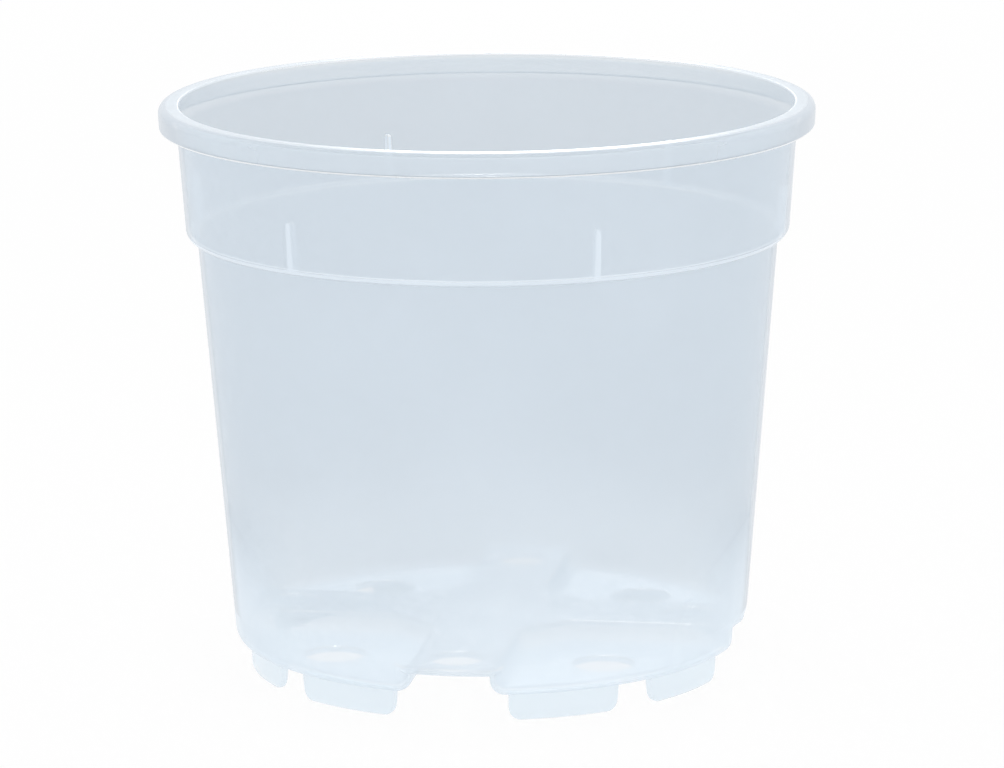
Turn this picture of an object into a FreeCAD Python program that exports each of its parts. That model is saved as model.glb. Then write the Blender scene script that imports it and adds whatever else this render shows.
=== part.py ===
"""Clear orchid pot: one thin-walled moulding, divided at its natural zones into named pieces.

Frame: millimetres, +Z up, origin at the bottom centre of the ring of feet.
The raised drain channels run along X and Y, and the four pods lie between them.
"""
import FreeCAD, Part
import Sketcher
import math
import os

os.makedirs("parts", exist_ok=True)

# Driving dimensions, in millimetres and degrees
SIZES = {
    # Overall
    "pot_height": 105.0,
    "rim_diameter": 120.0,
    # Rim: a flat lip whose outer edge turns down into an open skirt
    "rim_wall": 1.0,
    "rim_round": 1.5,
    "skirt_drop": 4.3,
    "skirt_draft": 0.2,
    # Collar: the wide upper band between the rim and the shoulder
    "rim_overhang": 3.1,
    "collar_wall": 0.7,
    "collar_height": 24.4,
    "collar_taper": 1.75,
    # Shoulder: the ledge on which a stacked pot stands
    "shoulder_width": 1.95,
    "ledge_thickness": 1.0,
    "shoulder_round": 1.5,
    "ledge_edge_round": 0.4,
    # Side wall: the taper is what its radius loses from the shoulder down to the pods' underside
    "wall_thickness": 0.7,
    "wall_taper": 6.0,
    # Base: a raised cross of drain channels between four sunken pods
    "floor_thickness": 1.2,
    "channel_rise": 3.45,
    "channel_width": 14.0,
    "channel_draft": 4.5,
    "pod_wall": 0.9,
    "pod_chamfer": 8.9,
    "pod_corner_extra": 0.5,
    "base_round": 2.5,
    "arm_hole_diameter": 9.5,
    "arm_hole_inset": 9.7,
    "pod_hole_diameter": 11.0,
    "pod_hole_inset": 12.2,
    "gate_diameter": 4.0,
    "gate_depth": 0.4,
    # Feet: two curved walls under the outer edge of each pod
    "foot_height": 4.95,
    "foot_thickness": 1.7,
    "foot_span_angle": 26.7,
    "foot_offset_angle": 18.15,
    "foot_end_round": 2.2,
    "foot_draft": 0.15,
    # Stacking ribs: upright fins on the ledge
    "rib_thickness": 1.2,
    "rib_height": 8.5,
    "rib_setback": 0.2,
    "rib_lean": 0.2,
    "rib_draft": 1.2,
    # Shares and modelling allowances
    "edge_round_share": 0.3,
    "foot_edge_round_share": 0.2,
    "rib_edge_round_share": 0.5,
    "seam_land": 0.4,
    "seam_inset": 0.6,
    "overrun": 5.0,
}

POD_COUNT = 4
RIB_COUNT = 6

# Sizes worked out from the driving dimensions, as formulas of the second sheet
WORKED = {
    # Rim
    "rim_radius": "rim_diameter / 2",
    "rim_inner_radius": "rim_radius - rim_wall",
    "lip_under_level": "pot_height - rim_wall",
    "rim_seam_level": "pot_height - rim_round - seam_land",
    "skirt_level": "pot_height - skirt_drop",
    "skirt_foot_radius": "rim_radius - skirt_draft",
    "skirt_foot_inner_radius": "skirt_foot_radius - rim_wall",
    "rim_edge_round": "rim_wall * edge_round_share",
    # Collar
    "shoulder_level": "pot_height - collar_height",
    "collar_top_radius": "rim_radius - rim_overhang",
    "collar_foot_radius": "collar_top_radius - collar_taper",
    "collar_slope": "collar_taper / collar_height",
    "collar_radius_lip": "collar_top_radius - collar_slope * rim_wall",
    "collar_radius_rim_seam": "collar_top_radius - collar_slope * (pot_height - rim_seam_level)",
    "collar_inner_radius_top": "collar_top_radius - collar_wall",
    "collar_inner_radius_rim_seam": "collar_radius_rim_seam - collar_wall",
    # Shoulder
    "ledge_level": "shoulder_level + ledge_thickness",
    "shoulder_seam_level": "shoulder_level + max(shoulder_round; ledge_thickness) + seam_land",
    "collar_radius_seam": "collar_foot_radius + collar_slope * (shoulder_seam_level - shoulder_level)",
    "collar_inner_radius_seam": "collar_radius_seam - collar_wall",
    "collar_inner_radius_ledge": "collar_foot_radius + collar_slope * ledge_thickness - collar_wall",
    # Side wall, outside at the shoulder and at the level of the pods' underside
    "wall_top_radius": "collar_foot_radius - shoulder_width",
    "wall_foot_radius": "wall_top_radius - wall_taper",
    "wall_slope": "wall_taper / (shoulder_level - foot_height)",
    "wall_inner_radius_top": "wall_top_radius - wall_thickness",
    "wall_inner_radius_ledge": "wall_inner_radius_top + wall_slope * ledge_thickness",
    # Levels of the base
    "roof_level": "foot_height + channel_rise",
    "arm_floor_level": "roof_level + floor_thickness",
    "pod_floor_level": "foot_height + floor_thickness",
    "base_seam_level": "max(roof_level + base_round; arm_floor_level) + seam_land",
    "base_depth": "base_seam_level - foot_height + overrun",
    # Radii of the side wall at those levels
    "wall_radius_roof": "wall_foot_radius + wall_slope * channel_rise",
    "wall_radius_seam": "wall_foot_radius + wall_slope * (base_seam_level - foot_height)",
    "wall_inner_radius_seam": "wall_radius_seam - wall_thickness",
    "wall_inner_radius_arm": "wall_foot_radius + wall_slope * (arm_floor_level - foot_height) - wall_thickness",
    "wall_inner_radius_pod": "wall_foot_radius + wall_slope * floor_thickness - wall_thickness",
    # Outline of a pod at the seam level: its sides lean out towards the roof of the channel
    "side_lean": "(base_seam_level - roof_level) * tan(channel_draft)",
    "pod_side": "channel_width / 2 - side_lean",
    "pod_side_corner": "pod_side + pod_chamfer",
    "pod_inner_side": "pod_side + pod_wall",
    "pod_inner_corner": "pod_inner_side + pod_chamfer - (2 - sqrt(2)) * pod_wall",
    # Outline of the seam between a pod and the cross, inside the roof of the channel
    "seam_side": "channel_width / 2 - seam_inset",
    "seam_corner": "seam_side + pod_chamfer + (2 - sqrt(2)) * seam_inset",
    "outer_reach": "wall_top_radius + overrun",
    # Roundings inside the base
    "pod_corner_round": "base_round + pod_corner_extra",
    "base_inner_round": "base_round - wall_thickness",
    "pod_inner_corner_round": "base_inner_round + pod_corner_extra",
    # Feet
    "foot_outer_radius": "wall_foot_radius - base_round",
    "foot_inner_radius": "foot_outer_radius - foot_thickness",
    "foot_tip_outer_radius": "foot_outer_radius - foot_draft",
    "foot_tip_inner_radius": "foot_inner_radius + foot_draft",
    "foot_edge_round": "foot_thickness * foot_edge_round_share",
    # Stacking ribs
    "rib_top_level": "ledge_level + rib_height",
    "rib_top_radius": "collar_inner_radius_ledge + collar_slope * rib_height",
    "rib_inner_radius": "wall_inner_radius_ledge + rib_setback",
    "rib_top_inner_radius": "rib_inner_radius + collar_slope * rib_height + rib_lean",
    "rib_half": "rib_thickness / 2",
    "rib_top_half": "rib_half - rib_height * tan(rib_draft)",
    "rib_edge_round": "rib_top_half * rib_edge_round_share",
    # Holes and gate mark
    "gate_radius": "gate_diameter / 2",
    "arm_hole_radius": "arm_hole_diameter / 2",
    "arm_hole_reach": "wall_foot_radius - arm_hole_inset",
    "pod_hole_radius": "pod_hole_diameter / 2",
    "pod_hole_side": "(wall_foot_radius - pod_hole_inset) / sqrt(2)",
}

# Two lengths closer than this count as the same when an edge is looked for
MATCH = 0.001

doc = FreeCAD.newDocument("orchid_pot")


def fill_sheets():
    """Write the driving dimensions and the sizes worked out from them."""
    driving = doc.addObject("Spreadsheet::Sheet", "dims")
    for row, (name, value) in enumerate(SIZES.items(), start=1):
        driving.set(f"A{row}", name)
        driving.set(f"B{row}", str(value))
        driving.setAlias(f"B{row}", name)
    doc.recompute()
    worked = doc.addObject("Spreadsheet::Sheet", "worked")
    for row, (name, formula) in enumerate(WORKED.items(), start=1):
        worked.set(f"A{row}", name)
        worked.set(f"B{row}", "=" + with_sheets(formula))
        worked.setAlias(f"B{row}", name)
    doc.recompute()
    return driving, worked


def with_sheets(formula):
    """The formula with each size's name led by the name of the sheet that holds it."""
    words = []
    for word in formula.replace("(", "( ").replace(")", " )").replace(";", " ;").split():
        if word in SIZES:
            word = "dims." + word
        elif word in WORKED:
            word = "worked." + word
        words.append(word)
    return " ".join(words)


def size(name):
    """The value of a size, from whichever sheet holds it."""
    sheet = dims if name in SIZES else worked
    return float(sheet.get(name))


def bind(item, prop, formula):
    item.setExpression(prop, with_sheets(formula))


def origin_plane(body, role):
    for feature in body.Origin.OriginFeatures:
        if feature.Role == role:
            return feature
    raise ValueError("no origin plane " + role)


def origin_axis(body):
    return origin_plane(body, "Z_Axis")


def new_body(name):
    body = doc.addObject("PartDesign::Body", name)
    body.Label = name
    return body


def new_sketch(body, name, role, level=None):
    """A sketch on one of the body's origin planes, raised to a level."""
    sketch = body.newObject("Sketcher::SketchObject", name)
    sketch.AttachmentSupport = (origin_plane(body, role), [""])
    sketch.MapMode = "FlatFace"
    if level:
        bind(sketch, "AttachmentOffset.Base.z", level)
    return sketch


def coordinate(name):
    """A corner's coordinate: a size's name, the same with a minus sign, or zero."""
    if not name:
        return 0.0
    if name.startswith("-"):
        return -size(name[1:])
    return size(name)


def pin_point(sketch, line, name, kind, axis):
    """Hold a line's first point at a size from the origin, or on the axis where there is none."""
    origin, first = -1, 1
    if not name:
        sketch.addConstraint(Sketcher.Constraint("PointOnObject", line, first, axis))
        return
    if name.startswith("-"):
        ends = (line, first, origin, first)
        name = name[1:]
    else:
        ends = (origin, first, line, first)
    index = sketch.addConstraint(Sketcher.Constraint(kind, *ends, size(name)))
    bind(sketch, f"Constraints[{index}]", name)


def draw_outline(sketch, corners):
    """A closed outline of straight lines through corners given by the names of their sizes."""
    points = [FreeCAD.Vector(coordinate(x), coordinate(y), 0) for x, y in corners]
    count = len(points)
    for k in range(count):
        sketch.addGeometry(Part.LineSegment(points[k], points[(k + 1) % count]), False)
    first, second = 1, 2
    for k in range(count):
        sketch.addConstraint(Sketcher.Constraint("Coincident", k, second, (k + 1) % count, first))
    horizontal_axis, vertical_axis = -1, -2
    for k, (x, y) in enumerate(corners):
        pin_point(sketch, k, x, "DistanceX", vertical_axis)
        pin_point(sketch, k, y, "DistanceY", horizontal_axis)


def draw_circle(sketch, radius, x=None, y=None):
    """A circle of a named radius, centred at named sizes from the origin."""
    centre = FreeCAD.Vector(coordinate(x), coordinate(y), 0)
    circle = sketch.addGeometry(Part.Circle(centre, FreeCAD.Vector(0, 0, 1), size(radius)), False)
    index = sketch.addConstraint(Sketcher.Constraint("Radius", circle, size(radius)))
    bind(sketch, f"Constraints[{index}]", radius)
    origin, first, middle = -1, 1, 3
    for name, kind, axis in ((x, "DistanceX", -2), (y, "DistanceY", -1)):
        if name:
            index = sketch.addConstraint(
                Sketcher.Constraint(kind, origin, first, circle, middle, size(name)))
            bind(sketch, f"Constraints[{index}]", name)
        else:
            sketch.addConstraint(Sketcher.Constraint("PointOnObject", circle, middle, axis))


def turn_profile(body, name, corners, angle=None, kind="Revolution"):
    """Turn an outline of (radius, height) corners about the pot's axis."""
    sketch = new_sketch(body, name + "_profile", "XZ_Plane")
    draw_outline(sketch, corners)
    feature = body.newObject("PartDesign::" + kind, name)
    feature.Profile = (sketch, [""])
    feature.ReferenceAxis = (origin_axis(body), [""])
    if angle:
        feature.Midplane = True
        bind(feature, "Angle", angle)
    doc.recompute()
    return feature


def round_edges(body, name, base, edges, radius):
    """A fillet on the chosen edges of the body's last feature."""
    fillet = body.newObject("PartDesign::Fillet", name)
    fillet.Base = (base, edges)
    bind(fillet, "Radius", radius)
    doc.recompute()
    return fillet


def rings(feature, places):
    """Names of the round edges that lie at given pairs of radius and height."""
    wanted = [(size(radius), size(level)) for radius, level in places]
    names = []
    for number, edge in enumerate(feature.Shape.Edges, start=1):
        point = edge.Vertexes[0].Point
        reach = math.hypot(point.x, point.y)
        box = edge.BoundBox
        if box.ZLength > MATCH or edge.Curve.TypeId != "Part::GeomCircle":
            continue
        for radius, level in wanted:
            if abs(reach - radius) < MATCH and abs(point.z - level) < MATCH:
                names.append(f"Edge{number}")
    return names


def edges_where(feature, test):
    """Names of the edges that pass a test."""
    return [f"Edge{number}" for number, edge in enumerate(feature.Shape.Edges, start=1) if test(edge)]


def lies_flat_at(edge, level):
    box = edge.BoundBox
    return abs(box.ZMin - level) < MATCH and abs(box.ZMax - level) < MATCH


def climbs(edge):
    return edge.BoundBox.ZLength > MATCH


def combine(kind, name, parts):
    """A boolean of finished solids: the first one with the rest."""
    item = doc.addObject(kind, name)
    item.Label = name
    if kind == "Part::MultiFuse":
        item.Shapes = parts
    else:
        item.Base = parts[0]
        item.Tool = parts[1]
    item.Refine = True
    doc.recompute()
    return item


def place_copy(master, name, angle):
    """A copy of a finished solid, turned about the pot's axis."""
    copy = doc.addObject("Part::Compound", name)
    copy.Label = name
    copy.Links = [master]
    doc.recompute()
    copy.Placement = FreeCAD.Placement(FreeCAD.Vector(), FreeCAD.Rotation(FreeCAD.Vector(0, 0, 1), angle))
    return copy


def make_rim_lip():
    """The flat lip, with the bends that lead into the skirt and the collar."""
    body = new_body("rim_lip")
    ring = turn_profile(body, "lip_ring", [
        ("collar_inner_radius_rim_seam", "rim_seam_level"),
        ("collar_radius_rim_seam", "rim_seam_level"),
        ("collar_radius_lip", "lip_under_level"),
        ("rim_inner_radius", "lip_under_level"),
        ("rim_inner_radius", "rim_seam_level"),
        ("rim_radius", "rim_seam_level"),
        ("rim_radius", "pot_height"),
        ("collar_inner_radius_top", "pot_height"),
    ])
    outer = round_edges(body, "lip_outer_round", ring,
                        rings(ring, [("rim_radius", "pot_height")]), "rim_round")
    small = rings(outer, [
        ("collar_inner_radius_top", "pot_height"),
        ("collar_radius_lip", "lip_under_level"),
        ("rim_inner_radius", "lip_under_level"),
    ])
    round_edges(body, "lip_small_rounds", outer, small, "rim_edge_round")
    return body


def make_rim_skirt():
    """The open skirt that hangs from the lip, clear of the collar."""
    body = new_body("rim_skirt")
    ring = turn_profile(body, "skirt_ring", [
        ("rim_inner_radius", "rim_seam_level"),
        ("skirt_foot_inner_radius", "skirt_level"),
        ("skirt_foot_radius", "skirt_level"),
        ("rim_radius", "rim_seam_level"),
    ])
    lower = rings(ring, [("skirt_foot_inner_radius", "skirt_level"), ("skirt_foot_radius", "skirt_level")])
    round_edges(body, "skirt_edge_rounds", ring, lower, "rim_edge_round")
    return body


def make_collar_wall():
    body = new_body("collar_wall")
    turn_profile(body, "collar_ring", [
        ("collar_inner_radius_rim_seam", "rim_seam_level"),
        ("collar_inner_radius_seam", "shoulder_seam_level"),
        ("collar_radius_seam", "shoulder_seam_level"),
        ("collar_radius_rim_seam", "rim_seam_level"),
    ])
    return body


def make_shoulder_ledge():
    """The step from the collar in to the side wall, with the ledge inside."""
    body = new_body("shoulder_ledge")
    ring = turn_profile(body, "ledge_ring", [
        ("collar_inner_radius_seam", "shoulder_seam_level"),
        ("collar_inner_radius_ledge", "ledge_level"),
        ("wall_inner_radius_ledge", "ledge_level"),
        ("wall_inner_radius_top", "shoulder_level"),
        ("collar_foot_radius", "shoulder_level"),
        ("collar_radius_seam", "shoulder_seam_level"),
    ])
    outer = round_edges(body, "shoulder_outer_round", ring,
                        rings(ring, [("collar_foot_radius", "shoulder_level")]), "shoulder_round")
    round_edges(body, "ledge_inner_round", outer,
                rings(outer, [("wall_inner_radius_ledge", "ledge_level")]), "ledge_edge_round")
    return body


def make_side_wall():
    body = new_body("side_wall")
    turn_profile(body, "wall_ring", [
        ("wall_inner_radius_top", "shoulder_level"),
        ("wall_inner_radius_seam", "base_seam_level"),
        ("wall_radius_seam", "base_seam_level"),
        ("wall_top_radius", "shoulder_level"),
    ])
    return body


def make_rib_master():
    """One drafted fin, standing on the ledge with its back cut to the taper of the collar."""
    blank = new_body("rib_blank")
    fin = blank.newObject("PartDesign::AdditiveWedge", "rib_fin")
    bounds = {
        "Xmin": "rib_inner_radius", "Xmax": "collar_top_radius",
        "X2min": "rib_top_inner_radius", "X2max": "collar_top_radius",
        "Ymin": "ledge_level", "Ymax": "rib_top_level",
        "Zmin": "-rib_half", "Zmax": "rib_half",
        "Z2min": "-rib_top_half", "Z2max": "rib_top_half",
    }
    for prop, formula in bounds.items():
        bind(fin, prop, formula.replace("-", "-1 * "))
    quarter_turn = 90
    fin.Placement = FreeCAD.Placement(FreeCAD.Vector(), FreeCAD.Rotation(FreeCAD.Vector(1, 0, 0), quarter_turn))
    doc.recompute()
    ledge = size("ledge_level")
    back = size("collar_top_radius")

    def is_free(edge):
        point = edge.CenterOfMass
        return point.z > ledge + MATCH and point.x < back - MATCH

    round_edges(blank, "rib_rounds", fin, edges_where(fin, is_free), "rib_edge_round")
    bore = new_body("rib_bore")
    turn_profile(bore, "rib_bore_space", [
        (None, "ledge_level"),
        ("collar_inner_radius_ledge", "ledge_level"),
        ("rib_top_radius", "rib_top_level"),
        (None, "rib_top_level"),
    ])
    return combine("Part::Common", "rib_master", [blank, bore])


def core_blank(body, name):
    """The raised floor as a full disc, its lower edge rounded where the channels open."""
    disc = turn_profile(body, name, [
        (None, "roof_level"),
        ("wall_radius_roof", "roof_level"),
        ("wall_radius_seam", "base_seam_level"),
        (None, "base_seam_level"),
    ])
    return round_edges(body, name + "_round", disc,
                       rings(disc, [("wall_radius_roof", "roof_level")]), "base_round")


def core_space(body, name):
    """The space above the raised floor, inside the side wall."""
    disc = turn_profile(body, name, [
        (None, "arm_floor_level"),
        ("wall_inner_radius_arm", "arm_floor_level"),
        ("wall_inner_radius_seam", "base_seam_level"),
        (None, "base_seam_level"),
    ])
    return round_edges(body, name + "_round", disc,
                       rings(disc, [("wall_inner_radius_arm", "arm_floor_level")]), "base_inner_round")


def cut_away(body, name, sketch, depth=None, taper=None, upwards=False):
    """Remove what lies below or above a sketch, to a depth or all the way through."""
    volume = body.Shape.Volume
    pocket = body.newObject("PartDesign::Pocket", name)
    pocket.Profile = (sketch, [""])
    pocket.Reversed = upwards
    if depth:
        pocket.Type = "Length"
        bind(pocket, "Length", depth)
    else:
        pocket.Type = "ThroughAll"
        pocket.Midplane = True
    if taper:
        bind(pocket, "TaperAngle", taper)
    doc.recompute()
    if pocket.Shape.Volume > volume - MATCH:
        raise ValueError(name + " cuts nothing")
    return pocket


def repeat_about_axis(body, name, features, count):
    pattern = body.newObject("PartDesign::PolarPattern", name)
    pattern.Originals = features
    pattern.Axis = (origin_axis(body), [""])
    pattern.Occurrences = count
    body.Tip = pattern
    doc.recompute()
    return pattern


def make_drain_cross(space):
    """The raised cross of the floor: four arms and their hub, with a hole in each arm."""
    body = new_body("cross_blank")
    core_blank(body, "cross_disc")
    quarter = new_sketch(body, "quarter_outline", "XY_Plane", "base_seam_level")
    draw_outline(quarter, [
        ("seam_side", "seam_corner"),
        ("seam_corner", "seam_side"),
        ("outer_reach", "seam_side"),
        ("outer_reach", "outer_reach"),
        ("seam_side", "outer_reach"),
    ])
    quarter_cut = cut_away(body, "quarter_cut", quarter)
    repeat_about_axis(body, "quarter_cuts", [quarter_cut], POD_COUNT)
    hole = new_sketch(body, "arm_hole_outline", "XY_Plane", "base_seam_level")
    draw_circle(hole, "arm_hole_radius", "arm_hole_reach", None)
    hole_cut = cut_away(body, "arm_hole", hole)
    repeat_about_axis(body, "arm_holes", [hole_cut], POD_COUNT)
    gate = new_sketch(body, "gate_outline", "XY_Plane", "roof_level")
    draw_circle(gate, "gate_radius")
    cut_away(body, "gate_mark", gate, depth="gate_depth", upwards=True)
    return combine("Part::Cut", "drain_cross", [body, space])


def pod_form(name, profile, side, corner, lower, corner_round, lower_round):
    """A pod as a solid: a slice of the tapering bowl between two channels, its edges rounded."""
    body = new_body(name)
    turn_profile(body, name + "_bowl", profile)
    around = new_sketch(body, name + "_around", "XY_Plane", "base_seam_level")
    draw_outline(around, [
        ("-outer_reach", "-outer_reach"),
        ("outer_reach", "-outer_reach"),
        ("outer_reach", side),
        (corner, side),
        (side, corner),
        (side, "outer_reach"),
        ("-outer_reach", "outer_reach"),
    ])
    slice_cut = cut_away(body, name + "_slice", around, depth="base_depth", taper="channel_draft")
    upright = edges_where(slice_cut, climbs)
    posts = round_edges(body, name + "_corners", slice_cut, upright, corner_round)
    level = size(lower)
    round_edges(body, name + "_lower_edges", posts,
                edges_where(posts, lambda edge: lies_flat_at(edge, level)), lower_round)
    return body


def make_pod_master(space):
    """One sunken quarter of the base: its floor, its walls towards the channels and its outer wall."""
    outer = pod_form("pod_outer", [
        (None, "foot_height"),
        ("wall_foot_radius", "foot_height"),
        ("wall_radius_seam", "base_seam_level"),
        (None, "base_seam_level"),
    ], "pod_side", "pod_side_corner", "foot_height", "pod_corner_round", "base_round")
    inner = pod_form("pod_space", [
        (None, "pod_floor_level"),
        ("wall_inner_radius_pod", "pod_floor_level"),
        ("wall_inner_radius_seam", "base_seam_level"),
        (None, "base_seam_level"),
    ], "pod_inner_side", "pod_inner_corner", "pod_floor_level", "pod_inner_corner_round", "base_inner_round")
    flange = new_body("pod_flange")
    core_blank(flange, "flange_disc")
    around = new_sketch(flange, "flange_around", "XY_Plane", "base_seam_level")
    draw_outline(around, [
        ("-outer_reach", "-outer_reach"),
        ("outer_reach", "-outer_reach"),
        ("outer_reach", "seam_side"),
        ("seam_corner", "seam_side"),
        ("seam_side", "seam_corner"),
        ("seam_side", "outer_reach"),
        ("-outer_reach", "outer_reach"),
    ])
    cut_away(flange, "flange_slice", around)
    hole = doc.addObject("Part::Cylinder", "pod_hole")
    bind(hole, "Radius", "pod_hole_radius")
    bind(hole, "Height", "base_depth")
    bind(hole, "Placement.Base.x", "pod_hole_side")
    bind(hole, "Placement.Base.y", "pod_hole_side")
    doc.recompute()
    solid = combine("Part::MultiFuse", "pod_solid", [outer, flange])
    hollow = combine("Part::MultiFuse", "pod_hollow", [inner, space, hole])
    return combine("Part::Cut", "pod_master", [solid, hollow])


def make_foot_master():
    """One curved foot, hanging from the flat underside of a pod."""
    body = new_body("foot_master")
    arc = turn_profile(body, "foot_arc", [
        ("foot_tip_inner_radius", None),
        ("foot_tip_outer_radius", None),
        ("foot_outer_radius", "foot_height"),
        ("foot_inner_radius", "foot_height"),
    ], angle="foot_span_angle")

    def is_end(edge):
        return lies_flat_at(edge, 0.0) and edge.Curve.TypeId == "Part::GeomLine"

    ends = round_edges(body, "foot_end_rounds", arc, edges_where(arc, is_end), "foot_end_round")

    def is_lower_arc(edge):
        return lies_flat_at(edge, 0.0) and edge.Curve.TypeId == "Part::GeomCircle"

    round_edges(body, "foot_edge_rounds", ends, edges_where(ends, is_lower_arc), "foot_edge_round")
    return body


def make_pieces():
    """All the named pieces of the pot, in order from the rim down."""
    pieces = [make_rim_lip(), make_rim_skirt(), make_collar_wall(), make_shoulder_ledge(), make_side_wall()]
    full_turn = 360.0
    rib = make_rib_master()
    for k in range(RIB_COUNT):
        pieces.append(place_copy(rib, f"stacking_rib_{k + 1}", k * full_turn / RIB_COUNT))
    space_body = new_body("core_space")
    core_space(space_body, "core_space_disc")
    pieces.append(make_drain_cross(space_body))
    pod = make_pod_master(space_body)
    foot = make_foot_master()
    half_pod = full_turn / POD_COUNT / 2
    for k in range(POD_COUNT):
        turn = k * full_turn / POD_COUNT
        pieces.append(place_copy(pod, f"base_pod_{k + 1}", turn))
        for side, word in ((-1, "a"), (1, "b")):
            angle = turn + half_pod + side * size("foot_offset_angle")
            pieces.append(place_copy(foot, f"foot_{k + 1}{word}", angle))
    return pieces


def check_and_export(pieces):
    """Refuse a failed object or a bad solid, then write each piece to its own file."""
    for item in doc.Objects:
        if "Invalid" in item.State or "Error" in item.State:
            raise ValueError("failed object " + item.Label + " " + str(item.State))
    for piece in pieces:
        shape = piece.Shape
        if shape.isNull() or not shape.isValid() or not shape.Solids:
            raise ValueError("bad shape " + piece.Label)
        shape.exportStep("parts/" + piece.Label + ".step")
        print(f"{piece.Label:18s} solids {len(shape.Solids)}  volume {shape.Volume:10.2f}")


dims, worked = fill_sheets()
check_and_export(make_pieces())
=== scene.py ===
"""Looks of the clear orchid pot: the moulded pot with its ribs and feet, its plastic, and a plain stage.

Metres, +Z up, origin at the bottom centre of the ring of feet. The raised drain channels run along X and Y.
"""

import math

import bmesh
import bpy
from bpy.props import FloatProperty, FloatVectorProperty, IntProperty, PointerProperty
from mathutils import Matrix, Vector


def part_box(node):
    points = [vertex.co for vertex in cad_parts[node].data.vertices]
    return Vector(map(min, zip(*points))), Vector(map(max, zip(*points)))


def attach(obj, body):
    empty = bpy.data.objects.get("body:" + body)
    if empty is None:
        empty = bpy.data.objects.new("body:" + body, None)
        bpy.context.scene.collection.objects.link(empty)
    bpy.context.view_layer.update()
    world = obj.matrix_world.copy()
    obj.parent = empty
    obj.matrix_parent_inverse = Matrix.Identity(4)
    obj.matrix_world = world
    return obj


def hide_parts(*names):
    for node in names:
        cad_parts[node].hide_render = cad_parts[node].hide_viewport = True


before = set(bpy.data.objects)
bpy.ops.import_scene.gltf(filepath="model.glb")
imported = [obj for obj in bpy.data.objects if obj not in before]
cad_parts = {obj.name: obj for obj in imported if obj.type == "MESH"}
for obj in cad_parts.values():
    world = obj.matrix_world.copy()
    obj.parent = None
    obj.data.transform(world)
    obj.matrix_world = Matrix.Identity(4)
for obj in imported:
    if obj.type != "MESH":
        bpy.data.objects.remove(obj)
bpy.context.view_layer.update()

bl_info = {
    "name": "Clear Orchid Pot",
    "version": (1, 0, 0),
    "blender": (4, 5, 0),
    "location": "3D View > Sidebar > Orchid Pot",
    "description": "Builds a clear moulded orchid pot with drain channels, ribs and feet, and a plain stage",
    "category": "Add Mesh",
}

MM = 0.001
POD_COUNT = 4
RIB_COUNT = 6
FULL_TURN = 2 * math.pi
# Two lengths closer than this count as the same
MATCH = 0.02 * MM
# Closer still, for cuts beside one another
CUT_MATCH = MATCH / 10
# Profile of a rounding that follows an arc of a circle
ARC_PROFILE = 0.5
# Steps in which a leaning line settles on a curved surface
MEETING_TRIES = 12
# Least folds between two faces: of a crease that is kept, of an edge of the floor, and of a foot's lower edge
CREASE = math.radians(40)
FLOOR_FOLD = math.radians(30)
FOOT_FOLD = math.radians(60)

# Zones of the moulding, in the order of its material slots, and last the feet, which are pieces of their own
ZONES = ("wall_outside", "wall_inside_painted_shade", "base", "cross", "lip", "rim", "rim_inside", "painted_highlight_edge",
         "painted_shoulder_glint_and_ribs", "shaded_edge", "feet")
OUTSIDE, INSIDE, BASE, CROSS, LIP, RIM, RIM_INSIDE, PAINTED_HIGHLIGHT, PAINTED_GLINT_AND_RIBS, SHADED, FEET = range(len(ZONES))
# Zones of a rib, in the order of its material slots: its faces, in the lighter tone of its thicker plastic,
# then its rounded edges, which carry painted highlights
RIB_ZONES = (PAINTED_GLINT_AND_RIBS, PAINTED_HIGHLIGHT)

# Patterns in the plastic: scale of the noise, and its detail
CLOUDS = (28.0, 3.0)
HAZE = (160.0, 2.0)
RIPPLES = (60.0, 1.0)
# Each softbox: its name, place in metres, width and height in metres, and power in watts
SOFTBOXES = (
    ("front_softbox", (0.3, -1.6, 0.7), (1.4, 1.4), 0.6),
    ("back_strip", (-0.2, 1.3, 0.38), (0.13, 0.3), 0.5),
    ("top_softbox", (0.0, 0.0, 1.3), (0.15, 0.15), 1.6),
)

POD_NODES = [f"base_pod_{k + 1}" for k in range(POD_COUNT)]
TURNED_NODES = ["rim_lip", "rim_skirt", "collar_wall", "shoulder_ledge", "side_wall"]
MOULDING_NODES = TURNED_NODES + ["drain_cross"] + POD_NODES


def low(node):
    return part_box(node)[0]


def high(node):
    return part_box(node)[1]


def length(label, text, default):
    """A size in metres."""
    return FloatProperty(name=label, description=text, default=default, min=0.0, precision=5,
                         subtype="DISTANCE", unit="LENGTH")


def angle(label, text, degrees):
    return FloatProperty(name=label, description=text, default=math.radians(degrees), subtype="ANGLE",
                         unit="ROTATION")


def share(label, text, default):
    return FloatProperty(name=label, description=text, default=default, min=0.0, max=1.0, subtype="FACTOR")


def number(label, text, default, minimum=0.0):
    return FloatProperty(name=label, description=text, default=default, min=minimum)


def count(label, text, default, minimum=1):
    return IntProperty(name=label, description=text, default=default, min=minimum)


def colour(label, text, default):
    return FloatVectorProperty(name=label, description=text, default=default, min=0.0, max=1.0, size=3,
                               subtype="COLOR")


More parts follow.
